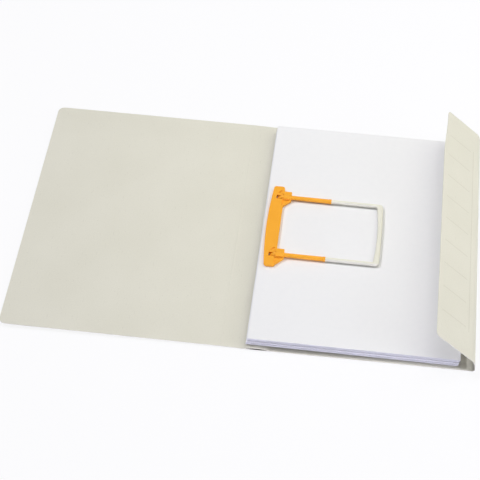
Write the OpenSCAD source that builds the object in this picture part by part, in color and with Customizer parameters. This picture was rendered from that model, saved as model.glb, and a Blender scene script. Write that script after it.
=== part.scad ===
// Clip folder: one scored board blank, opened flat, whose tube clip holds a stack of punched sheets.
// +X runs from the spine to the flap, +Y to the head of the page and +Z up from the table.
// The origin is the middle of the back cover's underside.

/* [Sheets] */
// Width of a sheet
sheet_w = 210; // [148:1:297]
// Height of a sheet
sheet_h = 297; // [200:1:420]
// Thickness of the whole stack
stack_t = 10; // [5:0.5:20]
// Diameter of the punched holes
hole_d = 6; // [5.4:0.1:8]
// Distance between the two punched holes
hole_pitch = 80; // [60:1:110]
// Distance from the sheet's edge to the middle of its holes
hole_edge = 12; // [9:0.5:16]
// How far the lowest sheaf is knocked out of line towards the spine
sheaf_shift = 1.8; // [0:0.1:2]
// How far the sheaves stand out of line at head and foot
sheaf_stagger = 0.6; // [0:0.1:2]
// How far the clip and its sheets sit below the folder's middle, towards the foot
clip_shift = 2.4; // [0:0.1:4]

/* [Board] */
// Thickness of the board
board_t = 0.6; // [0.4:0.05:1]
// Board left free at the head and at the foot of the sheets
margin_ends = 6.5; // [3:0.5:20]
// Board left free between the sheets and the flap's gusset
margin_flap = 15.5; // [4:0.5:40]
// Least room between the spine crease and the sheets
margin_spine = 2.5; // [2.5:0.5:10]
// How much narrower the front cover is than the back cover
front_short = 3; // [1:0.5:20]
// Radius of the front cover's free corners
cover_corner_r = 7; // [2:0.5:15]
// Room between the clip and the closed front cover
closing_room = 5.5; // [2:0.5:20]
// Height of the gusset above the top of the stack
gusset_room = 3.6; // [2:0.1:30]
// Lean of the gusset towards the sheets
gusset_lean = 7; // [0:1:30]
// Width of the flap, from crease to free edge
flap_w = 57; // [30:1:75]
// Slope of the flap above the level, as it stands open
flap_tilt = 44; // [5:1:85]
// Radius of the flap's free corners
flap_corner_r = 4; // [1:0.5:12]

/* [Clip strip] */
// Thickness of the strip glued over the clip's base
strip_t = 0.5; // [0.3:0.05:1]
// Width of each glued foot of the strip
foot_w = 3; // [2:0.5:8]
// Width of the strip's slope between a foot and the clip's base
arch_run = 4.25; // [2.5:0.25:8]
// Room between the strip and the edges of the clip's base
arch_room = 0.2; // [0.1:0.05:1]
// Gap between the strip and the spine crease
strip_gap = 0.5; // [0.4:0.1:3]

/* [Clip base] */
// Thickness of the base plate
base_t = 1; // [0.6:0.1:2]
// Width of base plate beyond the posts
base_rim = 1.05; // [0.5:0.05:4]
// Distance of the posts from the plate's middle line
post_off = 1.75; // [0:0.25:3]
// Length of base plate beyond each post
base_end = 15; // [6:1:40]
// Play of a post in a punched hole, each side
post_play = 0.8; // [0.5:0.05:1]

/* [Prongs] */
// Radius of the bend where a post folds over, on its middle line
bend_r = 5; // [4.5:0.25:9]
// How far below the stack's top the bend starts
bend_sink = 2; // [0.5:0.1:2.4]
// Length of a prong beyond its saddle
prong_free = 42.7; // [30:0.1:80]
// Slope of the prongs and the tube below the level
prong_droop = 1.1; // [0:0.1:1.2]
// Diameter of a prong at its open end
tube_d = 4.8; // [4.4:0.1:6]
// Length of the collar at a prong's open end
collar_len = 2.8; // [1:0.1:8]
// Height of the collar over the prong
collar_lip = 0.2; // [0.1:0.05:0.6]
// Diameter of the socket in a prong's open end
socket_d = 3; // [2:0.1:3.6]
// Depth of the socket
socket_len = 14; // [6:1:30]

/* [U tube] */
// Length of the tube, from the prongs' ends to its far edge
tube_reach = 56; // [20:1:110]
// Width of a leg
leg_w = 4.4; // [3.6:0.1:5]
// Depth of a leg's flat underside below its middle line
leg_side = 0.5; // [0.3:0.1:2]
// Width of the crossbar at its middle
cross_w = 4.8; // [2.5:0.1:8]
// How much wider the crossbar is at its ends
cross_flare = 2.4; // [0.5:0.1:5]
// Bow of the crossbar's far edge
cross_bow = 0.8; // [0.2:0.1:3]
// Radius of the tube's outer corners
tube_corner_r = 4.4; // [1:0.1:6]
// Play of a spigot in its socket, each side
spigot_play = 0.06; // [0.02:0.01:0.1]

/* [Press bar] */
// Thickness of the bar
bar_t = 3; // [2:0.1:5]
// Distance from the posts to the bar's bowed edge
bar_left = 9.1; // [6:0.1:14]
// Distance from the posts to the bar's straight edge
bar_right = 5.3; // [5.2:0.1:9]
// Bow of the bar's long edge
bar_bow = 3; // [0.5:0.1:5]
// Length of bar beyond each post
bar_end = 15; // [14.5:0.5:30]
// Radius of the bar's corners
bar_corner_r = 3; // [0.5:0.1:4]
// Length of a saddle beyond the bend
saddle_len = 8.5; // [6:0.2:16]
// Reach of a saddle past its prong, towards the head
saddle_head = 6.5; // [5.5:0.1:14]
// Reach of a saddle's tip past its prong, towards the foot
saddle_foot = 4.2; // [3.7:0.1:5]
// How far the saddle's walls grip past the prong's middle
saddle_grip = 1.8; // [0.5:0.1:2]
// Wall of a saddle on the foot side of its groove
saddle_wall = 1.2; // [0.6:0.1:1.3]
// Play of a prong in its groove, each side
groove_play = 0.15; // [0.1:0.05:0.4]
// Radius of a saddle's corner at its tip, towards the head
saddle_corner_r = 1.2; // [0.5:0.1:3]
// Rim left round the sunk pocket in a saddle's slanted web
pocket_rim = 1.5; // [0.8:0.1:2]
// Depth of the pocket
pocket_depth = 0.8; // [0.3:0.1:1.5]
// Length of the open slot behind a post
slot_gap = 0.4; // [0.3:0.1:2.5]
// Length of the slanted finger notch beside each window
notch_len = 5.2; // [2:0.1:6]
// Width of the notch
notch_w = 0.9; // [0.5:0.1:1.5]
// Depth of the notch
notch_depth = 0.9; // [0.3:0.1:1.5]
// Distance of the notch from its prong, towards the head
notch_off = 7.4; // [5:0.1:10]
// Distance of the notch from its post, towards the saddle
notch_lead = 0.9; // [0:0.1:2]

/* [Hidden] */
$fn = 96;

// Clearances: laid flat on, running past, and swinging past
seat = 0.02;
run = 0.3;
crease_play = 0.03;
// Overshoot of a cut, so that it clears its faces
over = 1;

// A crease turns on the board's middle plane: one panel has a round edge and the other a hollow one.
crease_r = board_t / 2;
fold_most = 90 + gusset_lean;
hollow_r = norm([crease_r, (crease_r * (1 - cos(fold_most)) + crease_play) / sin(fold_most)]);

// Clip base and the strip over it, which share a middle line
post_r = hole_d / 2 - post_play;
base_w = 2 * (post_off + post_r + base_rim);
base_len = hole_pitch + 2 * base_end;
arch_w = base_w + 2 * arch_run;
arch_h = (base_t + arch_room) / (1 - pow(base_w / arch_w, 2));
arch_r = (pow(arch_w / 2, 2) + arch_h * arch_h) / (2 * arch_h);
strip_w = arch_w + 2 * foot_w;
strip_lead = strip_w / 2 + post_off;
crown_z = board_t + seat + arch_h + strip_t;

// Plan: the crease, the posts, the sheets and the gusset
post_inset = max(strip_lead + strip_gap, hole_edge + margin_spine);
sheet_inset = post_inset - hole_edge;
back_w = sheet_inset + sheet_w + margin_flap;
folder_h = sheet_h + 2 * margin_ends;
front_w = back_w - front_short;
spine_x = -back_w / 2;
gusset_x = back_w / 2;
post_x = spine_x + post_inset;
strip_x = post_x - post_off;
sheet_left_x = spine_x + sheet_inset;
sheet_right_x = sheet_left_x + sheet_w;
clip_y = -clip_shift;

// The stack lies on the strip's crown at one side and on the board at the other.
stack_rest_z = board_t + seat;
stack_tilt = atan((crown_z + seat - board_t) / (sheet_right_x - strip_x));
stack_top_z = stack_rest_z + sheet_w * sin(stack_tilt) + stack_t * cos(stack_tilt);
sheaf_count = 5;
sheaf_t = stack_t / sheaf_count;
sheaf_turn = 137;

// Heights of the clip above the stack
bar_z = stack_top_z + seat;
prong_rise = bend_r - bend_sink;
prong_z = bar_z + prong_rise;
bend_z = prong_z - bend_r;
window_r = post_r + run;
saddle_h = prong_rise + saddle_grip;
clip_top_z = prong_z + tube_d / 2 + collar_lip;

// Lengths and bends of the clip
bend_turn = 90 + prong_droop;
prong_len = saddle_len + prong_free;
groove_r = post_r + (tube_d / 2 - post_r) * saddle_len / prong_len + groove_play;
notch_turn = 44;
saddle_tip = bend_r + saddle_len;
saddle_reach = saddle_tip - bar_right;
bar_len = hole_pitch + 2 * bar_end;
bow_r = (pow(bar_len / 2, 2) + bar_bow * bar_bow) / (2 * bar_bow);
tube_corner_y = (hole_pitch + leg_w) / 2 - tube_corner_r;
cross_bow_r = (pow(tube_corner_y, 2) + cross_bow * cross_bow) / (2 * cross_bow);
cross_end_w = cross_w + cross_flare;
cross_gap = hole_pitch - leg_w;
flare_r = (pow(cross_gap / 2, 2) + cross_flare * cross_flare) / (2 * cross_flare);

// Heights of the folded board
spine_w = clip_top_z + closing_room;
gusset_h = stack_rest_z + stack_t + gusset_room;
flap_x = gusset_x - gusset_h * sin(gusset_lean);
flap_z = board_t / 2 + gusset_h * cos(gusset_lean);

board_colour = [0.86, 0.85, 0.80];
strip_colour = [0.84, 0.83, 0.77];
orange = [0.96, 0.64, 0.16];
cream = [0.90, 0.89, 0.83];
white = [0.95, 0.95, 0.96];

// A round bar along Y through the origin, for the edges of a crease
module crease_round(r, length) {
    rotate([90, 0, 0])
        cylinder(r = r, h = length, center = true);
}

// Plan of a panel from its crease at x = 0 to its free edge, with round corners there
module panel_plan(w, corner_r) {
    corner_x = w - corner_r;
    corner_y = folder_h / 2 - corner_r;
    translate([0, -folder_h / 2])
        square([corner_x, folder_h]);
    translate([0, -corner_y])
        square([w, 2 * corner_y]);
    if (corner_r > 0)
        for (side = [1, -1])
            translate([corner_x, side * corner_y])
                circle(r = corner_r);
}

// A board panel along +X from its crease, hollow there, and round at the far edge if a crease follows
module panel(w, corner_r = 0, next_crease = false) {
    difference() {
        union() {
            translate([0, 0, -board_t / 2])
                linear_extrude(board_t)
                    panel_plan(w, corner_r);
            if (next_crease)
                translate([w, 0, 0])
                    crease_round(crease_r, folder_h);
        }
        crease_round(hollow_r, folder_h + 2 * over);
    }
}

module front_cover() {
    color(board_colour)
        translate([spine_x - spine_w, 0, board_t / 2])
            rotate([0, 0, 180])
                panel(front_w, corner_r = cover_corner_r);
}

module spine_panel() {
    color(board_colour)
        translate([spine_x, 0, board_t / 2])
            rotate([0, 0, 180])
                panel(spine_w, next_crease = true);
}

// The back cover has a round edge at both creases.
module back_cover() {
    color(board_colour)
        translate([0, 0, board_t / 2]) {
            cube([back_w, folder_h, board_t], center = true);
            for (x = [spine_x, gusset_x])
                translate([x, 0, 0])
                    crease_round(crease_r, folder_h);
        }
}

module flap_gusset() {
    color(board_colour)
        translate([gusset_x, 0, board_t / 2])
            rotate([0, -90 - gusset_lean, 0])
                panel(gusset_h, next_crease = true);
}

module flap() {
    color(board_colour)
        translate([flap_x, 0, flap_z])
            rotate([0, flap_tilt - 180, 0])
                panel(flap_w, corner_r = flap_corner_r);
}

// Section of the strip: two flat feet and an arch between them
module strip_section() {
    for (side = [1, -1])
        translate([side * (strip_w - foot_w) / 2 - foot_w / 2, 0])
            square([foot_w, strip_t]);
    intersection() {
        translate([0, arch_h - arch_r])
            difference() {
                circle(r = arch_r + strip_t, $fn = 360);
                circle(r = arch_r, $fn = 360);
            }
        translate([-strip_w / 2, 0])
            square([strip_w, arch_h + strip_t]);
    }
}

module clip_strip() {
    color(strip_colour)
        difference() {
            translate([strip_x, folder_h / 2, board_t + seat])
                rotate([90, 0, 0])
                    linear_extrude(folder_h)
                        strip_section();
            at_posts(board_t)
                cylinder(d = hole_d, h = crown_z + over);
        }
}

// Children stand at both posts
module at_posts(z) {
    for (side = [1, -1])
        translate([post_x, clip_y + side * hole_pitch / 2, z])
            children();
}

// Base plate with round ends, and its two posts
module clip_base() {
    color(orange) {
        translate([strip_x, clip_y, board_t + seat])
            linear_extrude(base_t) {
                square([base_w, base_len - base_w], center = true);
                for (side = [1, -1])
                    translate([0, side * (base_len - base_w) / 2])
                        circle(d = base_w);
            }
        at_posts(board_t + seat)
            cylinder(r = post_r, h = bend_z - seat - board_t - seat);
    }
}

// The flexible quarter bend from a post to its prong
module elbow(side) {
    color(orange)
        translate([post_x + bend_r, clip_y + side * hole_pitch / 2, bend_z])
            rotate([90, 0, 180])
                rotate_extrude(angle = bend_turn)
                    translate([bend_r, 0])
                        circle(r = post_r);
}

// Children lie along +X from the end of the bends, midway between the prongs
module from_bends() {
    translate([post_x + bend_r * (1 - cos(bend_turn)), clip_y, bend_z + bend_r * sin(bend_turn)])
        rotate([0, prong_droop, 0])
            children();
}

// A prong: a tapered tube with a collar and an open socket at its far end
module prong(side) {
    color(orange)
        from_bends()
            translate([seat, side * hole_pitch / 2, 0])
                rotate([0, 90, 0])
                    difference() {
                        union() {
                            cylinder(r1 = post_r, d2 = tube_d, h = prong_len);
                            translate([0, 0, prong_len - collar_len])
                                cylinder(d = tube_d + 2 * collar_lip, h = collar_len);
                        }
                        translate([0, 0, prong_len - socket_len])
                            cylinder(d = socket_d, h = socket_len + over);
                    }
}

// Section of a leg: a round top on straight sides, and flat below
module leg_section() {
    intersection() {
        circle(d = leg_w);
        translate([-leg_w / 2, 0])
            square(leg_w);
    }
    translate([-leg_w / 2, -leg_side])
        square([leg_w, leg_side]);
}

// Plan of the crossbar: a bowed far edge with round corners, and an inner edge hollowed between the legs
module cross_plan() {
    corner_x = -cross_bow - tube_corner_r;
    root_w = cross_end_w + tube_corner_r;
    difference() {
        union() {
            for (side = [1, -1])
                translate([corner_x, side * tube_corner_y])
                    circle(r = tube_corner_r);
            translate([-root_w, -(hole_pitch + leg_w) / 2])
                square([root_w + corner_x, hole_pitch + leg_w]);
            intersection() {
                translate([-root_w, -tube_corner_y])
                    square([root_w, 2 * tube_corner_y]);
                translate([-cross_bow_r, 0])
                    circle(r = cross_bow_r, $fn = 360);
            }
        }
        translate([-cross_w - flare_r, 0])
            circle(r = flare_r, $fn = 360);
    }
}

// The U tube: two legs with spigots, joined by a crossbar
module u_tube() {
    leg_len = tube_reach - cross_bow - tube_corner_r;
    color(cream)
        from_bends()
            translate([prong_len + 2 * seat, 0, 0]) {
                for (side = [1, -1])
                    translate([0, side * hole_pitch / 2, 0]) {
                        rotate([90, 0, 90])
                            linear_extrude(leg_len)
                                leg_section();
                        translate([-socket_len + run, 0, 0])
                            rotate([0, 90, 0])
                                cylinder(r = socket_d / 2 - spigot_play, h = socket_len);
                    }
                translate([tube_reach, 0, -leg_side])
                    linear_extrude(leg_side + leg_w / 2)
                        cross_plan();
            }
}

// Plan of the bar: a long plate with one bowed edge and round corners
module bar_plan() {
    end_y = bar_len / 2 - bar_corner_r;
    end_x = bow_r - bar_left - sqrt(bow_r * bow_r - end_y * end_y);
    intersection() {
        translate([-bar_left, -end_y])
            square([bar_left + bar_right, 2 * end_y]);
        translate([bow_r - bar_left, 0])
            circle(r = bow_r, $fn = 360);
    }
    translate([end_x + bar_corner_r, -bar_len / 2])
        square([bar_right - end_x - 2 * bar_corner_r, bar_len]);
    for (side = [1, -1], x = [end_x + bar_corner_r, bar_right - bar_corner_r])
        translate([x, side * end_y])
            circle(r = bar_corner_r);
}

// Plan of a saddle, round-cornered at its tip towards the head
module saddle_plan() {
    corner_x = saddle_tip - saddle_corner_r;
    corner_y = saddle_head - saddle_corner_r;
    wall_y = groove_r + saddle_wall;
    translate([bar_right - over, -wall_y])
        square([corner_x - bar_right + over, saddle_head + wall_y]);
    translate([bar_right - over, -wall_y])
        square([saddle_reach + over, corner_y + wall_y]);
    translate([corner_x, corner_y])
        circle(r = saddle_corner_r);
}

// Plan of the web beside a saddle: cut off at a slant from the saddle's tip to the bar
module web_plan() {
    polygon([
        [bar_right - over, 0],
        [saddle_tip, 0],
        [saddle_tip, -saddle_foot],
        [bar_right, -saddle_foot - saddle_reach],
        [bar_right - over, -saddle_foot - saddle_reach]
    ]);
}

// Plan of the sunk pocket: a triangle in the web, a rim away from its slanted edge
module pocket_plan() {
    near_x = bar_right - pocket_rim;
    near_y = -groove_r - saddle_wall - run;
    slant = saddle_foot + saddle_tip - pocket_rim * sqrt(2);
    polygon([
        [near_x, near_y],
        [slant + near_y, near_y],
        [near_x, near_x - slant]
    ]);
}

// The room a prong needs in its saddle: a round groove, open above, that droops with the prong
module groove() {
    translate([bend_r, 0, prong_rise])
        rotate([0, prong_droop, 0])
            translate([-over, 0, 0])
                rotate([90, 0, 90])
                    linear_extrude(saddle_len + 2 * over) {
                        circle(r = groove_r);
                        translate([-groove_r, 0])
                            square([2 * groove_r, saddle_h]);
                    }
}

// The press bar: a plate over the sheets, with windows for the posts and grooved saddles for the prongs
module press_bar() {
    color(orange)
        translate([post_x, clip_y, bar_z])
            difference() {
                union() {
                    linear_extrude(bar_t)
                        bar_plan();
                    for (side = [1, -1])
                        translate([0, side * hole_pitch / 2, 0]) {
                            linear_extrude(saddle_h)
                                saddle_plan();
                            linear_extrude(bar_t)
                                web_plan();
                        }
                }
                for (side = [1, -1])
                    translate([0, side * hole_pitch / 2, 0]) {
                        translate([-post_r - slot_gap, -window_r, -over])
                            cube([post_r + slot_gap + bend_r, 2 * window_r, saddle_h + 2 * over]);
                        groove();
                        translate([0, 0, bar_t - pocket_depth])
                            linear_extrude(saddle_h)
                                pocket_plan();
                        translate([notch_lead, notch_off, bar_t - notch_depth])
                            rotate([0, 0, notch_turn])
                                translate([-notch_len / 2, -notch_w / 2, 0])
                                    cube([notch_len, notch_w, bar_t]);
                    }
            }
}

// One sheaf of sheets, counted from the bottom, with the two holes that its posts pass through
module sheaf(index) {
    low = (index - 1) * sheaf_t + seat / 2;
    thick = sheaf_t - seat;
    drift_x = -sheaf_shift * (sheaf_count - index) / (sheaf_count - 1);
    drift_y = sheaf_stagger * sin(sheaf_turn * (index - 1));
    hole_x = (post_x - sheet_right_x - (low + thick / 2) * sin(stack_tilt)) / cos(stack_tilt);
    color(white)
        translate([sheet_right_x, clip_y, stack_rest_z])
            rotate([0, stack_tilt, 0])
                difference() {
                    translate([drift_x - sheet_w, drift_y - sheet_h / 2, low])
                        cube([sheet_w, sheet_h, thick]);
                    for (side = [1, -1])
                        translate([hole_x, side * hole_pitch / 2, low - over])
                            cylinder(d = hole_d, h = thick + 2 * over);
                }
}

front_cover();
spine_panel();
back_cover();
flap_gusset();
flap();
clip_strip();
clip_base();
elbow(1);  // elbow_upper
elbow(-1);  // elbow_lower
prong(1);  // prong_upper
prong(-1);  // prong_lower
u_tube();
press_bar();
sheaf(1);  // sheaf_1
sheaf(2);  // sheaf_2
sheaf(3);  // sheaf_3
sheaf(4);  // sheaf_4
sheaf(5);  // sheaf_5
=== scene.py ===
import bmesh
import bpy
import numpy as np
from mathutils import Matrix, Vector


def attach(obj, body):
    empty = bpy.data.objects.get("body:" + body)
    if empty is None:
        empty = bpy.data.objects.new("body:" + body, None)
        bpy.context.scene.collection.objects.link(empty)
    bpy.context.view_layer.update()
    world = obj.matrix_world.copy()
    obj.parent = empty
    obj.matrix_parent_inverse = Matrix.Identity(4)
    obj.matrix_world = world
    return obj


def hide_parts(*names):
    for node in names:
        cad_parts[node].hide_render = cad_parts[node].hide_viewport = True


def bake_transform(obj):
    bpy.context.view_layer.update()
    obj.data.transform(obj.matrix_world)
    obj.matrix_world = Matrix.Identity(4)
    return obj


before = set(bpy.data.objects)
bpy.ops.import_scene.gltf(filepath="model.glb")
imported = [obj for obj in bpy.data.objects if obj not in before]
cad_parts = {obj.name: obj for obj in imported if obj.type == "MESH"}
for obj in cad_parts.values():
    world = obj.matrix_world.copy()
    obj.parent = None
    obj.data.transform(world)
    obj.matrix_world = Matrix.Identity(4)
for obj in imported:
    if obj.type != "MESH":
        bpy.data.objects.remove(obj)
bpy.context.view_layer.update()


# Back cover: the middle panel of a blank die-cut in one piece from buff-grey recycled board, 0.6 mm thick.
# It lies flat on the table. The clip's strip is glued to it, and the other panels fold from its two creases.
MM = 0.001
BOARD_T = 0.6
BOARD_Z = BOARD_T / 2
BOARD_ROWS = 25
FOLDER_HALF = 155.0
SPINE_X, GUSSET_X = -114.0, 114.0
SCORE_HALF, GUSSET_BEND = 1.8, 2.6
INNER_MAP = 1.0
BUFF = (0.795, 0.778, 0.672)


def placed(name, data):
    """A new object in the scene that holds the data."""
    piece = bpy.data.objects.new(name, data)
    bpy.context.scene.collection.objects.link(piece)
    return piece


def shade_smooth(mesh, angle):
    """Smooth shading, broken at edges that are sharper than the angle in degrees."""
    mesh.polygons.foreach_set("use_smooth", np.ones(len(mesh.polygons), bool))
    mesh.set_sharp_from_angle(angle=np.radians(angle))


def new_piece(name, corners, faces, smooth=30):
    """An object at the origin whose place is in its mesh: corners in millimetres, faces as rows of corner
    numbers. Faces are turned outwards by the sign of the volume, the sum of each fan's corner products."""
    fans = []
    for f in faces:
        fans.append(np.stack([np.repeat(f[:, 0], f.shape[1] - 2), f[:, 1:-1].ravel(), f[:, 2:].ravel()]))
    a, b, c = corners[np.concatenate(fans, axis=1)]
    if np.einsum("ij,ij->i", a, np.cross(b, c)).sum() < 0:
        faces = [f[:, ::-1] for f in faces]
    mesh = bpy.data.meshes.new(name)
    mesh.from_pydata((corners * MM).tolist(), [], [row for f in faces for row in f.tolist()])
    shade_smooth(mesh, smooth)
    return placed(name, mesh)


def ring_quads(number):
    """Quads from each ring of corner numbers to the next, all the way round."""
    turned = np.roll(number, -1, axis=1)
    return np.stack([number[:-1], number[1:], turned[1:], turned[:-1]], -1).reshape(-1, 4)


def board_panel(name, line, half, start=0.0, swell=0.0):
    """One stretch of the blank. Its middle line (x, z) is pushed out by the swell, and by half the board to
    both sides, along its normal. Each station is a loop from foot to head on the inner face and back on the
    outer face, and the loops are joined in turn. The map gives the distance along the line and the height on
    the page."""
    along = np.gradient(line, axis=0)
    along /= np.linalg.norm(along, axis=1, keepdims=True)
    normal = np.stack([-along[:, 1], along[:, 0]], 1)
    middle = line + normal * np.reshape(swell, (-1, 1))
    faces = np.stack([middle + side * normal * BOARD_T / 2 for side in (1, -1)], 1)
    section = np.repeat(faces, BOARD_ROWS, axis=1)
    y = np.broadcast_to(half, len(line))[:, None] * np.linspace(-1, 1, BOARD_ROWS)
    rings = np.stack([section[..., 0], np.concatenate([y, y[:, ::-1]], 1), section[..., 1]], -1)
    count, around = rings.shape[:2]
    number = np.arange(count * around).reshape(count, around)
    top, under = number[:, :BOARD_ROWS], number[:, :BOARD_ROWS - 1:-1]
    ends = [np.stack([top[i, :-1], top[i, 1:], under[i, 1:], under[i, :-1]], -1) for i in (0, -1)]
    piece = new_piece(name, rings.reshape(-1, 3), [ring_quads(number), ends[0], ends[1][:, ::-1]])
    run = start + np.concatenate([[0], np.cumsum(np.linalg.norm(np.diff(line, axis=0), axis=1))])
    chart = np.stack([np.repeat(run[:, None], around, 1), rings[..., 1]], -1) * MM
    chart[:, :BOARD_ROWS, 0] += INNER_MAP
    corner = np.zeros(len(piece.data.loops), int)
    piece.data.loops.foreach_get("vertex_index", corner)
    chart = chart.reshape(-1, 2)[corner].astype(np.float32)
    piece.data.uv_layers.new(name="blank").data.foreach_set("uv", chart.ravel())
    return piece


def feed(tree, node, values):
    """Sets a node's inputs to constants, or joins them to other nodes' outputs."""
    for key, value in dict(values).items():
        if isinstance(value, bpy.types.NodeSocket):
            tree.links.new(value, node.inputs[key])
        else:
            node.inputs[key].default_value = value


def add(tree, kind, values=(), **settings):
    """A new node with its settings and its inputs."""
    node = tree.nodes.new("ShaderNode" + kind)
    for key, value in settings.items():
        setattr(node, key, value)
    feed(tree, node, values)
    return node


def sums(tree, kind, *values):
    """One arithmetic step on sockets or constants."""
    return add(tree, "Math", dict(enumerate(values)), operation=kind).outputs[0]


def noise(tree, spot, scale, detail, rough=0.5):
    """Cloudy values about one half, with so many clouds to the metre."""
    values = {"Vector": spot, "Scale": scale, "Detail": detail, "Roughness": rough}
    return add(tree, "TexNoise", values).outputs[0]


def ramp(tree, value, *stops):
    """Value carried through colour stops, each (place, grey or colour)."""
    node = add(tree, "ValToRGB", {"Fac": value})
    bar = node.color_ramp
    while len(bar.elements) < len(stops):
        bar.elements.new(0.5)
    for element, (place, tone) in zip(bar.elements, stops):
        element.position = place
        element.color = (*tone, 1) if np.ndim(tone) else (tone, tone, tone, 1)
    return node.outputs["Color"]


def tint(tree, kind, share, below, above):
    """Two colours mixed by a blend kind. A colour mix has its share at input 0, its colours at 6 and 7."""
    return add(tree, "Mix", {0: share, 6: below, 7: above}, data_type="RGBA", blend_type=kind).outputs[2]


def new_finish(name):
    """A new material with its node tree and its surface node."""
    material = bpy.data.materials.new(name)
    material.use_nodes = True
    tree = material.node_tree
    return material, tree, tree.nodes["Principled BSDF"]


def board_finish(name, colour, place):
    """Recycled board: cloudy tone, fibre clumps of a millimetre, long pale and dark hairs and sparse dark
    specks, over a matt felt-like surface."""
    material, tree, surface = new_finish(name)
    if place == "map":
        spot = add(tree, "UVMap", uv_map="blank").outputs[0]
    else:
        spot = add(tree, "TexCoord").outputs["Object"]
    cloud = noise(tree, spot, 16, 3)
    felt = noise(tree, spot, 700, 8, 0.7)
    clouded = ramp(tree, cloud, (0.3, (0.965, 0.965, 0.955)), (0.7, (1.0, 1.0, 1.0)))
    tone = tint(tree, "MULTIPLY", 1.0, (*colour, 1), clouded)
    tone = tint(tree, "MULTIPLY", 1.0, tone, ramp(tree, felt, (0.25, 0.93), (0.75, 1.0)))
    pale_hair = 0.4, (90, 1900, 300), (0.80, 0.78, 0.70, 1)
    dark_hair = 2.1, (1700, 110, 300), (0.55, 0.52, 0.44, 1)
    for turn, stretch, shade in (pale_hair, dark_hair):
        lie = add(tree, "Mapping", {"Vector": spot, "Rotation": (0, 0, turn), "Scale": stretch}).outputs[0]
        hair = ramp(tree, noise(tree, lie, 1, 2), (0.68, 0.0), (0.74, 0.45))
        tone = tint(tree, "MIX", hair, tone, shade)
    speck = add(tree, "TexVoronoi", {"Vector": spot, "Scale": 260}).outputs
    speck_tone = (0.30, 0.27, 0.20, 1)
    dark = ramp(tree, speck["Distance"], (0.05, 0.30), (0.12, 0.0))
    rare = ramp(tree, speck["Color"], (0.72, 0.0), (0.78, 1.0))
    tone = tint(tree, "MIX", sums(tree, "MULTIPLY", dark, rare), tone, speck_tone)
    matt = ramp(tree, felt, (0.3, 0.82), (0.7, 0.95))
    bump = add(tree, "Bump", {"Strength": 0.35, "Distance": 0.00008, "Height": felt}).outputs[0]
    feed(tree, surface, {"Base Color": tone, "Roughness": matt, "Specular IOR Level": 0.25, "Normal": bump})
    return material


buff_board = board_finish("buff_board", BUFF, "map")
back_x = np.linspace(SPINE_X + SCORE_HALF, GUSSET_X - GUSSET_BEND, 9)
back_line = np.stack([back_x, np.full_like(back_x, BOARD_Z)], 1)
back_cover = board_panel("back_cover_board", back_line, FOLDER_HALF, back_x[0])
back_cover.data.materials.append(buff_board)
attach(back_cover, "base")
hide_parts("back_cover")


# Spine panel and front cover: the left part of the blank, thrown open. Both creases are scored but never
# fully flat, so the opened board springs up from the table: 1 mm at the cover's crease and 3.5 mm at its free
# edge, which has round corners.
SPINE_W, COVER_W, COVER_CORNER = 24.0893, 225.0, 7.0
COVER_X = SPINE_X - SPINE_W
FREE_X = COVER_X - COVER_W
SPRING, SPRING_RUN, RISE = 0.9, 12.0, 2.6
BEAD, BEAD_HALF = 0.14, 0.8


def opened(x):
    """Middle line of the sprung board: its height is an early swell that levels off, plus a straight rise."""
    away = np.clip(SPINE_X - x, 0, None)
    lift = SPRING * (1 - np.exp(-away / SPRING_RUN)) + RISE * away / (SPINE_X - FREE_X)
    return np.stack([x, BOARD_Z + lift], 1)


def rounded_end(depth, radius):
    """How far a round corner has drawn the edge in, at a depth from the panel's free edge: the radius less
    the circle's height there."""
    return radius - np.sqrt(radius ** 2 - np.clip(radius - depth, 0, radius) ** 2)


# Each crease carries a bead on its inner face, a bell curve across the score.
score = np.linspace(-SCORE_HALF, SCORE_HALF, 17)
bead = BEAD * np.exp(-(score / BEAD_HALF) ** 2)
spine_crease = board_panel("spine_crease", opened(SPINE_X + score), FOLDER_HALF, SPINE_X - SCORE_HALF, bead)
spine_crease.data.materials.append(buff_board)
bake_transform(spine_crease)

spine_line = opened(np.linspace(COVER_X + SCORE_HALF, SPINE_X - SCORE_HALF, 13))
spine_panel = board_panel("spine_board", spine_line, FOLDER_HALF, spine_line[0, 0])
spine_panel.data.materials.append(buff_board)
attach(spine_panel, "spine")
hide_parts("spine_panel")

cover_crease = board_panel("cover_crease", opened(COVER_X + score), FOLDER_HALF, COVER_X - SCORE_HALF, bead)
cover_crease.data.materials.append(buff_board)
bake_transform(cover_crease)

corner_depth = COVER_CORNER * (1 - np.cos(np.linspace(0, np.pi / 2, 15)))
straight_x = np.linspace(FREE_X + 2 * COVER_CORNER, COVER_X - SCORE_HALF, 26)
cover_x = np.concatenate([FREE_X + corner_depth, straight_x])
cover_half = FOLDER_HALF - rounded_end(cover_x - FREE_X, COVER_CORNER)
front_cover = board_panel("front_cover_board", opened(cover_x), cover_half, FREE_X)
front_cover.data.materials.append(buff_board)
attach(front_cover, "cover")
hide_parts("front_cover")


# Gusset and flap: the right part of the blank. The gusset stands as high as a full stack, and the flap leans
# in from it over a wide soft bend, because it is scored three times there. Index rules are pressed into the
# flap's outer face.
GUSSET_H, GUSSET_LEAN = 14.22, np.radians(7)
GUSSET_WAY = np.array([-np.sin(GUSSET_LEAN), np.cos(GUSSET_LEAN)])
FLAP_W, FLAP_CORNER, FLAP_BEND, FLAP_TILT = 57.0, 4.0, 5.0, np.radians(44)
FLAP_WAY = np.array([-np.cos(FLAP_TILT), np.sin(FLAP_TILT)])
SOFT_SCORES, SOFT_BEAD, SOFT_BEAD_HALF = np.array([-2.5, 0.0, 2.5]), 0.06, 0.5
TRIM, TRIM_END, TRIM_FROM, TRIM_TO = 4.0, 1.6, 85.0, 150.0
RULE_PITCH, RULE_HALF, RULE_SOFT = 0.030, 0.00022, 0.00035
RULES_FROM, RULES_TO, RULES_END = 0.0155, 0.0505, 0.121
MARGIN, MARGIN_END = 0.0104, 0.1235
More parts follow.
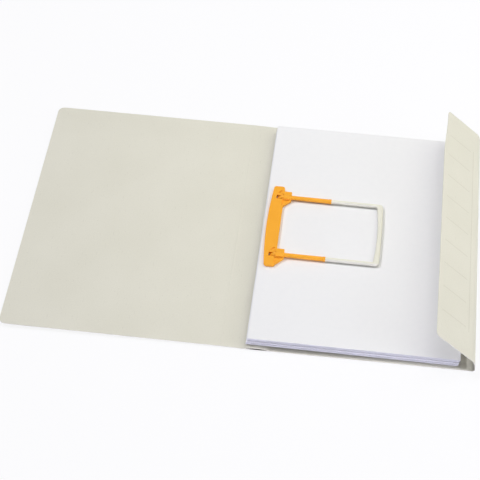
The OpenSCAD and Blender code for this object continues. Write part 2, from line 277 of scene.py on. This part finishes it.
RULE_TONE, RULE_SHARE = (0.80, 0.79, 0.76, 1), 0.55


def bend(corner, way_in, way_out, reach, count):
    """Middle line of a bend: the circle that touches both straights at that reach from their corner. Its
    centre is the first touching point moved square to the way in, and the line turns evenly from one way to
    the other."""
    turn = np.arctan2(way_in[0] * way_out[1] - way_in[1] * way_out[0], np.dot(way_in, way_out))
    radius = reach / np.tan(turn / 2)
    first = corner - reach * way_in
    square = np.array([-way_in[1], way_in[0]])
    angle = np.linspace(0, turn, count)[:, None]
    return first + radius * (np.sin(angle) * way_in + (1 - np.cos(angle)) * square)


gusset_corner = np.array([GUSSET_X, BOARD_Z])
flap_corner = gusset_corner + GUSSET_H * GUSSET_WAY
foot_line = bend(gusset_corner, np.array([1.0, 0.0]), GUSSET_WAY, GUSSET_BEND, 13)
gusset_crease = board_panel("gusset_crease", foot_line, FOLDER_HALF, back_x[-1])
gusset_crease.data.materials.append(buff_board)
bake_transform(gusset_crease)

gusset_up = np.linspace(GUSSET_BEND, GUSSET_H - FLAP_BEND, 7)
gusset_line = gusset_corner + gusset_up[:, None] * GUSSET_WAY
flap_gusset = board_panel("gusset_board", gusset_line, FOLDER_HALF, GUSSET_X + BOARD_Z + GUSSET_BEND)
flap_gusset.data.materials.append(buff_board)
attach(flap_gusset, "gusset")
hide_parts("flap_gusset")


def flap_half(reach):
    """Half the flap's length at a reach from its crease: the folder's, less what a free corner takes."""
    return FOLDER_HALF - rounded_end(FLAP_W - reach, FLAP_CORNER)


soft_line = bend(flap_corner, GUSSET_WAY, FLAP_WAY, FLAP_BEND, 29)
soft_reach = np.linspace(-FLAP_BEND, FLAP_BEND, len(soft_line))
soft_bead = SOFT_BEAD * np.exp(-((soft_reach[:, None] - SOFT_SCORES) / SOFT_BEAD_HALF) ** 2).sum(1)
flap_crease = board_panel("flap_crease", soft_line, flap_half(soft_reach), -FLAP_BEND, soft_bead)
flap_crease.data.materials.append(buff_board)
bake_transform(flap_crease)


def mesh_points(mesh):
    """Corners of a mesh in millimetres, one in each row."""
    points = np.empty(len(mesh.vertices) * 3)
    mesh.vertices.foreach_get("co", points)
    return points.reshape(-1, 3) / MM


def move_points(mesh, points):
    """Gives a mesh's corners new places in millimetres."""
    mesh.vertices.foreach_set("co", (points * MM).ravel())


def within(tree, value, low, high, soft):
    """1 where the value lies between low and high, falling to 0 over the soft distance outside them."""
    rising = add(tree, "MapRange", {"Value": value, "From Min": low - soft, "From Max": low})
    falling = add(tree, "MapRange", {"Value": value, "From Min": high + soft, "From Max": high})
    return sums(tree, "MULTIPLY", rising.outputs[0], falling.outputs[0])


flap_depth = FLAP_CORNER * (1 - np.cos(np.linspace(np.pi / 2, 0, 13)))
straight_reach = np.linspace(FLAP_BEND, FLAP_W - 2 * FLAP_CORNER, 12)
flap_reach = np.concatenate([straight_reach, FLAP_W - flap_depth])
flap_line = flap_corner + flap_reach[:, None] * FLAP_WAY
flap = board_panel("flap_board", flap_line, flap_half(flap_reach), FLAP_BEND)
# At the head the free corner is trimmed askew: it runs in from the free edge, and a little from the end.
spots = mesh_points(flap.data)
headward = np.clip((spots[:, 1] - TRIM_FROM) / (TRIM_TO - TRIM_FROM), 0, 1)
outward = ((spots[:, ::2] - flap_corner) @ FLAP_WAY - FLAP_BEND) / (FLAP_W - FLAP_BEND)
trim = (headward * headward * (3 - 2 * headward) * outward)[:, None]
move_points(flap.data, spots - trim * (TRIM * FLAP_WAY[0], TRIM_END, TRIM * FLAP_WAY[1]))

ruled_board = board_finish("ruled_board", BUFF, "map")
rules = ruled_board.node_tree
chart = add(rules, "SeparateXYZ", {"Vector": add(rules, "UVMap", uv_map="blank").outputs[0]}).outputs
rule_no = sums(rules, "DIVIDE", chart["Y"], RULE_PITCH)
rule_part = sums(rules, "SUBTRACT", rule_no, sums(rules, "ROUND", rule_no))
rule_off = sums(rules, "MULTIPLY", rule_part, RULE_PITCH)
rule_run = within(rules, chart["X"], RULES_FROM, RULES_TO, RULE_SOFT)
rule_rows = within(rules, chart["Y"], -RULES_END, RULES_END, RULE_SOFT)
cross_rules = sums(rules, "MULTIPLY", within(rules, rule_off, -RULE_HALF, RULE_HALF, RULE_SOFT), rule_run)
cross_rules = sums(rules, "MULTIPLY", cross_rules, rule_rows)
margin_run = within(rules, chart["Y"], -MARGIN_END, MARGIN_END, RULE_SOFT)
margin_rule = within(rules, chart["X"], MARGIN - RULE_HALF, MARGIN + RULE_HALF, RULE_SOFT)
margin_rule = sums(rules, "MULTIPLY", margin_rule, margin_run)
pressed = sums(rules, "MAXIMUM", cross_rules, margin_rule)
ruled_surface = rules.nodes["Principled BSDF"]
plain = ruled_surface.inputs["Base Color"].links[0].from_socket
felt_bump = ruled_surface.inputs["Normal"].links[0].from_socket
ruled_tone = tint(rules, "MULTIPLY", sums(rules, "MULTIPLY", pressed, RULE_SHARE), plain, RULE_TONE)
dent = {"Strength": 0.9, "Distance": 0.00018, "Height": pressed, "Normal": felt_bump}
dented = add(rules, "Bump", dent, invert=True).outputs[0]
feed(rules, ruled_surface, {"Base Color": ruled_tone, "Normal": dented})
flap.data.materials.append(ruled_board)
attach(flap, "flap")
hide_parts("flap")


# Clip strip: a length of the same board, arched over the clip's base plate and glued down along both its
# feet. It runs the full height of the folder, with two punched holes for the posts. The board under the
# arch is painted dark: painted shade for the shadow in the tunnel under the strip.
STRIP_X, STRIP_HALF, ARCH_HALF = -101.25, 12.25, 9.25
FREE_LEFT, FREE_RIGHT = 12.0, 10.75
STRIP_BUFF = (0.780, 0.760, 0.655)
# Tone and soft edges of the painted shade on the board under the strip's arch.
SHADE_INSET, SHADE_SOFT, ARCH_SHADE_TONE = 0.4, 0.0004, (0.13, 0.12, 0.10, 1)
MEETING, FLAT = 0.00004, np.radians(1.0)


def welded(node, name):
    """A copy of a node's loose triangles: corners that meet are merged, and flat neighbours joined."""
    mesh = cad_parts[node].data.copy()
    mesh.name = name
    merged = bmesh.new()
    merged.from_mesh(mesh)
    bmesh.ops.remove_doubles(merged, verts=merged.verts, dist=MEETING)
    bmesh.ops.dissolve_limit(merged, angle_limit=FLAT, verts=merged.verts, edges=merged.edges)
    merged.to_mesh(mesh)
    merged.free()
    mesh.attributes.remove(mesh.attributes["custom_normal"])
    mesh.materials.clear()
    return placed(name, mesh)


strip = welded("clip_strip", "clip_strip_board")
# Glue has let go of part of each foot, and of nearly all of the left one, so the arch is stretched sideways.
arch = [-STRIP_HALF, -ARCH_HALF, 0, ARCH_HALF, STRIP_HALF]
wide_arch = [-STRIP_HALF, -FREE_LEFT, 0, FREE_RIGHT, STRIP_HALF]
spots = mesh_points(strip.data)
spots[:, 0] = STRIP_X + np.interp(spots[:, 0] - STRIP_X, arch, wide_arch)
move_points(strip.data, spots)
shade_smooth(strip.data, 25)
strip_board = board_finish("strip_board", STRIP_BUFF, "object")
strip.data.materials.append(strip_board)
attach(strip, "base")
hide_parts("clip_strip")

# Painted shade: the back cover's board is darkened between the strip's feet, standing in for the shadow under
# the arch.
arch_shaded_board = board_finish("arch_shaded_board", BUFF, "map")
arch_shade = arch_shaded_board.node_tree
blank_spot = add(arch_shade, "UVMap", uv_map="blank").outputs[0]
across_blank = add(arch_shade, "SeparateXYZ", {"Vector": blank_spot}).outputs["X"]
arch_shade_edges = [INNER_MAP + (STRIP_X + edge) * MM for edge in (SHADE_INSET - FREE_LEFT, FREE_RIGHT - SHADE_INSET)]
painted_arch_shade = within(arch_shade, across_blank, *arch_shade_edges, SHADE_SOFT)
arch_shaded_surface = arch_shade.nodes["Principled BSDF"]
bare = arch_shaded_surface.inputs["Base Color"].links[0].from_socket
feed(arch_shade, arch_shaded_surface, {"Base Color": tint(arch_shade, "MULTIPLY", painted_arch_shade, bare, ARCH_SHADE_TONE)})
back_cover.data.materials[0] = arch_shaded_board


# Clip base: the lower half of the clip, injection-moulded in orange plastic. Its plate lies under the strip,
# and its two posts come up through the strip and the punched holes of the sheets.
ORANGE, DEEP_ORANGE, ORANGE_ROUGH = (0.930, 0.415, 0.024), (0.900, 0.390, 0.020), 0.46


def plastic_finish(name, colour, deep, rough):
    """Satin moulded plastic: a fine spark-eroded grain, and slow cloudiness of the colour and the gloss."""
    material, tree, surface = new_finish(name)
    spot = add(tree, "TexCoord").outputs["Object"]
    tone = ramp(tree, noise(tree, spot, 60, 2), (0.3, deep), (0.7, colour))
    gloss = ramp(tree, noise(tree, spot, 240, 4), (0.3, rough - 0.05), (0.7, rough + 0.07))
    grain = noise(tree, spot, 5200, 3, 0.6)
    bump = add(tree, "Bump", {"Strength": 0.12, "Distance": 0.00004, "Height": grain}).outputs[0]
    feed(tree, surface, {"Base Color": tone, "Roughness": gloss, "Normal": bump})
    feed(tree, surface, {"IOR": 1.49, "Specular IOR Level": 0.32})
    return material


orange_plastic = plastic_finish("orange_plastic", ORANGE, DEEP_ORANGE, ORANGE_ROUGH)
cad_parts["clip_base"].data.materials.clear()
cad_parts["clip_base"].data.materials.append(orange_plastic)


# Sheets: about a hundred A4 sheets of white copier paper with two punched holes, threaded on the posts in
# five handfuls. They lie on the strip at the left and on the board at the right, and are knocked up a little
# unevenly.
SHEET_W, SHEET_H = 210.0, 297.0
CLIP_Y = -2.4
STACK_X, STACK_Z, STACK_TILT = 98.5, 0.62, np.radians(0.641157)
POST_X, POST_HALF, HOLE_R, HOLE_CELL = -99.5, 40.0, 3.0, 6.0
RIM = 16
SHEAVES, PER_SHEAF, SHEAF_T, SHEAF_GAP = 5, 19, 2.0, 0.01
SHEAF_SHIFT, SHEAF_STAGGER, STAGGER_TURN = 1.8, 0.6, np.radians(137)
SLIDE_X, SLIDE_Y, SLIDE_TURN = 0.07, 0.09, 0.0004
SHEET_FULL = 0.93
DARKEST = 0.955


def punched_sheet():
    """Plan of one sheet with two holes, as corners and faces: a grid of three by five rectangles, where the
    two that hold a hole are a fan from each corner to its quarter of the hole, and one triangle from each
    side to the hole's nearest point."""
    hole_x = POST_X - STACK_X
    gx = np.array([-SHEET_W, hole_x - HOLE_CELL, hole_x + HOLE_CELL, 0.0])
    hole_cell = np.array([-HOLE_CELL, HOLE_CELL])
    gy = np.concatenate([[-SHEET_H / 2], hole_cell - POST_HALF, hole_cell + POST_HALF, [SHEET_H / 2]])
    grid = np.stack(np.meshgrid(gx, gy, indexing="ij"), -1).reshape(-1, 2)
    number = np.arange(len(grid)).reshape(len(gx), len(gy))
    cells = np.stack([number[:-1, :-1], number[1:, :-1], number[1:, 1:], number[:-1, 1:]], -1)
    plain_cells = np.ones(cells.shape[:2], bool)
    angle = np.arange(RIM) * 2 * np.pi / RIM
    circle = np.stack([hole_x + HOLE_R * np.cos(angle), HOLE_R * np.sin(angle)], -1)
    triangles = []
    for hole, column in enumerate((1, 3)):
        plain_cells[1, column] = False
        rim = len(grid) + RIM * hole + np.arange(RIM + 1) % RIM
        left, right = number[1, column:column + 2], number[2, column:column + 2]
        corner = np.array([right[1], left[1], left[0], right[0]])
        triangles.append(np.stack([np.repeat(corner, RIM // 4), rim[1:], rim[:-1]], -1))
        triangles.append(np.stack([corner, np.roll(corner, -1), rim[RIM // 4::RIM // 4]], -1))
    edge = np.concatenate([number[:, 0], number[-1, 1:], number[-2::-1, -1], number[0, -2:0:-1]])
    corners = np.concatenate([grid, circle + [0, -POST_HALF], circle + [0, POST_HALF]])
    return corners, cells[plain_cells], np.concatenate(triangles), edge


plan, cells, triangles, outline = punched_sheet()
shuffle = np.random.default_rng(11)


def walls(loop, rise):
    """Quads that stand on a closed loop of corner numbers, whose upper corners come the rise later."""
    turned = np.roll(loop, -1)
    return np.stack([loop, turned, turned + rise, loop + rise], -1)


def sheaf_of_sheets(index):
    """One handful: the sheet's plan repeated at even heights, each copy turned and slid by a small chance
    amount, then the whole leaned with the stack. Every sheet is two faces its thickness apart, walled at its
    outline and holes."""
    low = (index - 1) * SHEAF_T + SHEAF_GAP
    pitch = (SHEAF_T - 2 * SHEAF_GAP) / PER_SHEAF
    place = np.arange(PER_SHEAF)
    share = (low + place * pitch) / (SHEAVES * SHEAF_T)
    slide_x = -SHEAF_SHIFT * (1 - share) + shuffle.normal(0, SLIDE_X, PER_SHEAF)
    slide_y = SHEAF_STAGGER * np.sin(STAGGER_TURN * (index - 1)) + shuffle.normal(0, SLIDE_Y, PER_SHEAF)
    turn = shuffle.normal(0, SLIDE_TURN, PER_SHEAF)[:, None]
    count = len(plan)
    on_rim = np.arange(count) >= count - 2 * RIM
    x = plan[:, 0] + np.where(on_rim, 0, slide_x[:, None] - turn * plan[:, 1])
    y = plan[:, 1] + np.where(on_rim, 0, slide_y[:, None] + turn * (plan[:, 0] + SHEET_W / 2))
    x, y = (np.repeat(v[:, None], 2, 1) for v in (x, y))
    level = low + place[:, None] * pitch + np.array([0.0, pitch * SHEET_FULL])
    z = np.repeat(level[..., None], count, 2)
    lean_x, lean_z = np.cos(STACK_TILT), np.sin(STACK_TILT)
    leaned = [STACK_X + x * lean_x + z * lean_z, y + CLIP_Y, STACK_Z - x * lean_z + z * lean_x]
    points = np.stack(leaned, -1).reshape(-1, 3)
    holes = np.arange(count)[on_rim].reshape(2, RIM)[:, ::-1]
    wall = np.concatenate([walls(loop, count) for loop in (outline, *holes)])
    quads = np.concatenate([cells + count, cells[:, ::-1], wall])
    threes = np.concatenate([triangles + count, triangles[:, ::-1]])
    first = place[:, None, None] * 2 * count
    faces = [(first + quads).reshape(-1, 4), (first + threes).reshape(-1, 3)]
    handful = new_piece(f"sheets_{index}", points, faces, smooth=20)
    shade = np.repeat(shuffle.uniform(DARKEST, 1.0, PER_SHEAF), 2 * count)
    shade[-2 * count:] = 1.0
    handful.data.attributes.new("shade", "FLOAT", "POINT").data.foreach_set("value", shade.astype(np.float32))
    return handful


white_paper, paper, paper_surface = new_finish("white_paper")
paper_spot = add(paper, "TexCoord").outputs["Object"]
formation = noise(paper, paper_spot, 180, 4, 0.6)
tooth = noise(paper, paper_spot, 3000, 4, 0.7)
leaf = add(paper, "Attribute", attribute_name="shade").outputs["Fac"]
paper_white = ramp(paper, formation, (0.3, (0.858, 0.860, 0.868)), (0.7, (0.872, 0.872, 0.878)))
paper_matt = ramp(paper, tooth, (0.3, 0.78), (0.7, 0.92))
paper_bump = add(paper, "Bump", {"Strength": 0.2, "Distance": 0.00003, "Height": tooth}).outputs[0]
paper_tone = tint(paper, "MULTIPLY", 1.0, paper_white, leaf)
feed(paper, paper_surface, {"Base Color": paper_tone, "Roughness": paper_matt})
feed(paper, paper_surface, {"Specular IOR Level": 0.3, "Normal": paper_bump})
for index in range(1, SHEAVES + 1):
    sheets = sheaf_of_sheets(index)
    sheets.data.materials.append(white_paper)
    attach(sheets, "base")
    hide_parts(f"sheaf_{index}")


# Press bar: the upper half of the clip, moulded in the same orange plastic. It drops over the posts through
# two windows and lies on the sheets; the prongs fold over into its two grooved saddles. The mould breaks all
# its edges.
BEND_R, BEND_Z, POST_R = 5.0, 10.9893, 2.2
DROOP = np.radians(1.1)
BEND_TURN = np.pi / 2 + DROOP
START = np.array([POST_X + BEND_R * (1 - np.cos(BEND_TURN)), CLIP_Y, BEND_Z + BEND_R * np.sin(BEND_TURN)])
GROOVE_R, SNUG_R, SADDLE_TOP = 2.383, 2.25, 17.789
LIP_CUTS = np.linspace(START[2] + 0.3, SADDLE_TOP - 0.15, 7)
ACROSS_Y, NEAR_WALL, NEAR_GROOVE, GROOVE_FROM = 0.99, 0.02, 0.04, -0.2
MOULD_EDGE, SLIVER = 0.00022, 0.000003


def in_wall(face):
    """Whether a face is an upright wall of a groove: it looks along Y, a groove radius from the axis."""
    off_middle = abs(face.calc_center_median().y / MM - CLIP_Y) - POST_HALF
    return abs(face.normal.y) > ACROSS_Y and abs(abs(off_middle) - GROOVE_R) < NEAR_WALL


press_bar = welded("press_bar", "press_bar_moulded")
bar_mesh = press_bar.data
grooved = bmesh.new()
grooved.from_mesh(bar_mesh)
lips = [face for face in grooved.faces if in_wall(face)]
lip_edges = {edge for face in lips for edge in face.edges}
lips += list(lip_edges | {corner for edge in lip_edges for corner in edge.verts})
for height in LIP_CUTS:
    cut = bmesh.ops.bisect_plane(grooved, geom=lips, plane_co=(0, 0, height * MM), plane_no=(0, 0, 1))
    lips = cut["geom"]
bmesh.ops.triangulate(grooved, faces=grooved.faces[:])
grooved.to_mesh(bar_mesh)
grooved.free()

# The grooves close on the prongs: a groove point keeps its height and comes in sideways to a circle just
# wider than the prong, so the walls above the prong's middle become lips that it snaps under.
spots = mesh_points(bar_mesh)
run = (spots[:, 0] - START[0]) / np.cos(DROOP)
across = spots[:, 1] - CLIP_Y
across = across - np.sign(across) * POST_HALF
above = spots[:, 2] - START[2] + run * np.sin(DROOP)
on_round = (above <= 0) & (np.abs(np.hypot(across, above) - GROOVE_R) < NEAR_GROOVE)
on_wall = (above > 0) & (np.abs(np.abs(across) - GROOVE_R) < NEAR_GROOVE)
in_groove = (on_round | on_wall) & (run > GROOVE_FROM)
closer = SNUG_R / GROOVE_R - 1
lip = np.sign(across) * np.sqrt(np.clip(SNUG_R ** 2 - above ** 2, 0, None))
spots[:, 1] += np.where(in_groove & on_wall, lip - across, np.where(in_groove, across * closer, 0))
spots[:, 2] += np.where(in_groove & on_round, above * closer, 0)
move_points(bar_mesh, spots)

shade_smooth(bar_mesh, 28)
ends = np.empty(len(bar_mesh.edges) * 2, int)
bar_mesh.edges.foreach_get("vertices", ends)
sharp = np.empty(len(bar_mesh.edges), bool)
bar_mesh.attributes["sharp_edge"].data.foreach_get("value", sharp)
broken = (sharp & ~in_groove[ends.reshape(-1, 2)].all(1)).astype(np.float32)
bar_mesh.attributes.new("bevel_weight_edge", "FLOAT", "EDGE").data.foreach_set("value", broken)
bar_mesh.polygons.foreach_set("use_smooth", np.zeros(len(bar_mesh.polygons), bool))
mould_edges = press_bar.modifiers.new("mould_edges", "BEVEL")
mould_edges.width, mould_edges.segments, mould_edges.limit_method = MOULD_EDGE, 2, "WEIGHT"
mould_edges.loop_slide, mould_edges.use_clamp_overlap = False, False
press_bar.modifiers.new("no_slivers", "WELD").merge_threshold = SLIVER
bar_mesh.materials.append(orange_plastic)
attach(press_bar, "bar")
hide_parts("press_bar")


# Elbows: the soft necks where the base's posts turn over into the prongs, moulded thinner so that they can
# bend. They straighten when the prongs are stood up to add sheets.
SIDES = ("upper", 1), ("lower", -1)
PINCH = 0.16


def loft(name, rings, smooth=30):
    """A closed surface through rings of equal count: each ring is joined to the next all the way round,
    and the first and last rings are closed by one flat face each."""
    number = np.arange(rings.shape[0] * rings.shape[1]).reshape(rings.shape[:2])
    return new_piece(name, rings.reshape(-1, 3), [ring_quads(number), number[:1], number[-1:, ::-1]], smooth)


neck = np.linspace(0, BEND_TURN, 25)[:, None]
round_about = np.arange(32) * 2 * np.pi / 32
thin = 1 - PINCH * np.sin(np.pi * neck / BEND_TURN) ** 2
reach = BEND_R + POST_R * thin * np.cos(round_about)
for name, side in SIDES:
    neck_y = CLIP_Y + side * POST_HALF
    beside = neck_y + POST_R * np.sin(round_about) + 0 * neck
    rings = np.stack([POST_X + BEND_R - reach * np.cos(neck), beside, BEND_Z + reach * np.sin(neck)], -1)
    elbow = loft(f"elbow_neck_{name}", rings)
    elbow.data.materials.append(orange_plastic)
    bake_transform(elbow)
    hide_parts(f"elbow_{name}")


# Prongs: two tapering tubes that lie over the sheets and droop a little. Each ends in a thicker collar
# with a socket for the U tube's spigot.
PRONG_LEN, PRONG_R, COLLAR_LEN, COLLAR_R = 51.2, 2.4, 2.8, 2.6
SOCKET_R, SOCKET_LEN, SOCKET_LEAD = 1.5, 14.0, 0.25
NECK_CUT = 0.12


def drooped(x, y, z):
    """Points given along the prongs, across them and above them, in the folder's own axes."""
    along, down = np.cos(DROOP), np.sin(DROOP)
    return np.stack([START[0] + x * along + z * down, START[1] + y, START[2] - x * down + z * along], -1)


def prong_round(name, outline, side, smooth=30):
    """A round piece on one prong's axis: an outline of distances along the prong and radii there, turned."""
    x, r = outline[:, :1], outline[:, 1:]
    y, z = side * POST_HALF + r * np.cos(round_about), r * np.sin(round_about)
    return loft(name, drooped(x + 0 * round_about, y, z), smooth)


neck_x = PRONG_LEN - COLLAR_LEN
taper_x = np.array([0.0, 10.0, 20.0, 30.0, neck_x])
taper_r = POST_R + (PRONG_R - POST_R) * taper_x / PRONG_LEN
neck_r = taper_r[-1]
prong_outline = np.array([
    (0.02, POST_R), (taper_x[1], taper_r[1]), (taper_x[2], taper_r[2]), (taper_x[3], taper_r[3]),
    (neck_x - 0.9, neck_r), (neck_x - 0.6, neck_r - NECK_CUT), (neck_x - 0.25, neck_r - NECK_CUT),
    (neck_x, neck_r), (neck_x + 0.05, COLLAR_R - 0.08), (neck_x + 0.2, COLLAR_R), (PRONG_LEN - 0.3, COLLAR_R),
    (PRONG_LEN - 0.08, COLLAR_R - 0.09), (PRONG_LEN, COLLAR_R - 0.3), (PRONG_LEN, SOCKET_R + SOCKET_LEAD),
    (PRONG_LEN - SOCKET_LEAD, SOCKET_R), (PRONG_LEN - SOCKET_LEN, SOCKET_R)])
for name, side in SIDES:
    prong = prong_round(f"prong_tube_{name}", prong_outline, side, smooth=40)
    prong.data.materials.append(orange_plastic)
    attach(prong, "prongs")
    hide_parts(f"prong_{name}")


# U tube: the cream plastic loop that joins the prongs, pulled off to add or take out sheets. Its legs are
# round on top and flat below, its crossbar widens into both corners, and two spigots plug into the prongs'
# sockets.
TUBE_X, TUBE_LEN = PRONG_LEN + 0.04, 56.0
LEG_HALF, LEG_SIDE, FOOT_EDGE, FOOT_SHARE = 2.2, 0.5, 0.15, 0.93
CROSS_W, CROSS_FLARE, CROSS_BOW = 4.8, 2.4, 0.8
TUBE_CORNER, INNER_CORNER = 4.4, 0.8
OUTER_Y, INNER_Y = POST_HALF + LEG_HALF, POST_HALF - LEG_HALF
LEG_END = -CROSS_W - CROSS_FLARE - INNER_CORNER
ROUND_TOP, SQUARE_TOP = 2.0, 3.2
SPIGOT_R, SPIGOT_LEN, SPIGOT_LEAD, SPIGOT_ROOT = 1.44, 13.7, 0.8, 0.3
CREAM, DEEP_CREAM, CREAM_ROUGH = (0.800, 0.790, 0.680), (0.775, 0.765, 0.650), 0.40


def round_loop(leg, corner, cross):
    """One edge of the loop in plan: along a leg, round its corner, along the crossbar, and the same way back
    on the other side."""
    flip = np.array([1, -1])
    return np.concatenate([leg, corner, cross, corner[::-1] * flip, leg[::-1] * flip])


leg_x = np.linspace(-TUBE_LEN, LEG_END, 14)[:-1]
leg_outer, leg_inner = (np.stack([leg_x, np.full_like(leg_x, y)], -1) for y in (OUTER_Y, INNER_Y))
quarter = np.linspace(0, np.pi / 2, 13)
onward, inward = np.sin(quarter), 1 - np.cos(quarter)
outer_corner = np.stack([TUBE_CORNER * (onward - 1) - CROSS_BOW, OUTER_Y - TUBE_CORNER * inward], -1)
inner_corner = np.stack([LEG_END + INNER_CORNER * onward, INNER_Y - INNER_CORNER * inward], -1)
cross_y = np.linspace(INNER_Y - INNER_CORNER, INNER_CORNER - INNER_Y, 45)[1:-1]
hollow = (cross_y / INNER_Y) ** 2
outer_edge = round_loop(leg_outer, outer_corner, np.stack([-CROSS_BOW * hollow, cross_y], -1))
inner_edge = round_loop(leg_inner, inner_corner, np.stack([-CROSS_W - CROSS_FLARE * hollow, cross_y], -1))

# The section's top is a superellipse: its power grows round the corners, from a circle on the legs.
leg_power = np.full(len(leg_x), ROUND_TOP)
corner_power = np.linspace(ROUND_TOP, SQUARE_TOP, len(quarter))
cross_power = np.full(len(cross_y), SQUARE_TOP)
power = np.concatenate([leg_power, corner_power, cross_power, corner_power[::-1], leg_power])[:, None]
over = np.linspace(0, np.pi, 21)
crown = LEG_HALF * (1 - np.abs(np.cos(over)) ** power) ** (1 / power)
foot = np.full_like(power, -LEG_SIDE)
tube_up = np.concatenate([foot, foot + FOOT_EDGE, crown, foot + FOOT_EDGE, foot], 1)
tube_across = np.concatenate([[-FOOT_SHARE, -1.0], -np.cos(over), [1.0, FOOT_SHARE]])
middle, spread = (outer_edge + inner_edge) / 2, (outer_edge - inner_edge) / 2
loop = middle[:, None] + spread[:, None] * tube_across[:, None]
u_tube = loft("u_tube_loop", drooped(TUBE_X + TUBE_LEN + loop[..., 0], loop[..., 1], tube_up), smooth=35)
cream_plastic = plastic_finish("cream_plastic", CREAM, DEEP_CREAM, CREAM_ROUGH)
u_tube.data.materials.append(cream_plastic)
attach(u_tube, "tube")
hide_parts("u_tube")

spigot_outline = np.array([(TUBE_X + SPIGOT_ROOT, SPIGOT_R), (TUBE_X - SPIGOT_LEN + SPIGOT_LEAD, SPIGOT_R),
                           (TUBE_X - SPIGOT_LEN, SPIGOT_R - 0.45)])
for name, side in SIDES:
    spigot = prong_round(f"spigot_{name}", spigot_outline, side)
    spigot.data.materials.append(cream_plastic)
    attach(spigot, "tube")


# Studio: a white table that runs out of sight, under a dim sky. A large lamp far on the left, a soft box
# behind on the right and a lamp overhead light the folder, a low lamp lights the flap and a bluish strip the
# sheets' near edges.
TABLE_HALF, TABLE_Z, TABLE_GLOW = 6.0, -0.0004, 0.88
TABLE_WHITE = (0.88, 0.87, 0.98, 1)
SKY_LEVEL, SKY_RISE, SKY_TONE = 0.17, 0.12, (1.0, 1.0, 1.06, 1)
WHITE = (1, 1, 1, 1)


def seen_rays(tree):
    """1 for rays that show the background: the camera's own, and those by reflection or through glass."""
    ray = add(tree, "LightPath").outputs
    bounced = sums(tree, "MAXIMUM", ray["Is Glossy Ray"], ray["Is Transmission Ray"])
    return sums(tree, "MAXIMUM", ray["Is Camera Ray"], bounced)


table_mesh = bpy.data.meshes.new("table")
table_corners = [(x * TABLE_HALF, y * TABLE_HALF, TABLE_Z) for x, y in ((-1, -1), (1, -1), (1, 1), (-1, 1))]
table_mesh.from_pydata(table_corners, [], [(0, 1, 2, 3)])
table = placed("table", table_mesh)
table_white, top, top_surface = new_finish("table_white")
feed(top, top_surface, {"Base Color": TABLE_WHITE, "Roughness": 1.0, "Specular IOR Level": 0.0})
glow = add(top, "Emission", {"Color": WHITE, "Strength": 1.0}).outputs[0]
glow_share = sums(top, "MULTIPLY", seen_rays(top), TABLE_GLOW)
lit_table = add(top, "MixShader", {0: glow_share, 1: top_surface.outputs[0], 2: glow}).outputs[0]
feed(top, top.nodes["Material Output"], {"Surface": lit_table})
table.data.materials.append(table_white)

world = bpy.data.worlds.new("studio")
bpy.context.scene.world = world
world.use_nodes = True
sky = world.node_tree
way = add(sky, "SeparateXYZ", {"Vector": add(sky, "TexCoord").outputs["Generated"]}).outputs
bright = sums(sky, "MAXIMUM", sums(sky, "MULTIPLY_ADD", way["Z"], SKY_RISE, SKY_LEVEL), 0.0)
dome = sky.nodes["Background"]
feed(sky, dome, {"Color": SKY_TONE, "Strength": bright})
white_dome = add(sky, "Background", {"Color": WHITE, "Strength": 1.0}).outputs[0]
seen_sky = add(sky, "MixShader", {0: seen_rays(sky), 1: dome.outputs[0], 2: white_dome}).outputs[0]
feed(sky, sky.nodes["World Output"], {"Surface": seen_sky})

for lamp_name, colour, wide, high, power, place in (
    ("soft_box", (1.0, 0.99, 0.83), 0.9, 0.9, 3.05, (0.5, 0.3, 0.8)),
    ("top_lamp", (1.0, 0.975, 0.963), 0.6, 0.6, 2.12, (0.04, 0.15, 1.05)),
    ("left_lamp", (1.0, 1.008, 1.075), 1.0, 1.0, 235.0, (-4.43, 1.48, 6.31)),
    ("right_lamp", (1.0, 1.015, 1.03), 0.7, 0.7, 4.1, (1.25, -0.35, 0.5)),
    ("front_fill", (1.0, 0.975, 1.32), 1.2, 0.1, 9.4, (0.05, -1.65, 0.075)),
):
    lamp_data = bpy.data.lights.new(lamp_name, "AREA")
    lamp_data.shape, lamp_data.size, lamp_data.size_y = "ELLIPSE", wide, high
    lamp_data.color, lamp_data.energy = colour, power
    lamp = placed(lamp_name, lamp_data)
    lamp.location = place
    lamp.rotation_mode = "QUATERNION"
    lamp.rotation_quaternion = lamp.location.to_track_quat("Z", "Y")


# Camera: a long lens from the foot of the page, a little to the right and 50 degrees above the table.
# It looks at a point near the spine, so that the open folder fills the frame from side to side.
FRAME_PX, FOCAL_PX, SENSOR = 480, 1465, 36.0
CAMERA_AZ, CAMERA_EL = np.radians(6.90), np.radians(49.68)
CAMERA_AIM, CAMERA_AWAY = Vector((-0.13524, -0.0144, 0)), 1.548
camera_data = bpy.data.cameras.new("camera")
camera_data.sensor_width, camera_data.lens = SENSOR, SENSOR * FOCAL_PX / FRAME_PX
camera = placed("camera", camera_data)
level_back = np.cos(CAMERA_EL)
back = Vector((np.sin(CAMERA_AZ) * level_back, -np.cos(CAMERA_AZ) * level_back, np.sin(CAMERA_EL)))
camera.location = CAMERA_AIM + back * CAMERA_AWAY
camera.rotation_mode = "QUATERNION"
camera.rotation_quaternion = (-back).to_track_quat("-Z", "Y")
bpy.context.scene.camera = camera
bpy.context.scene.view_settings.view_transform = "Standard"
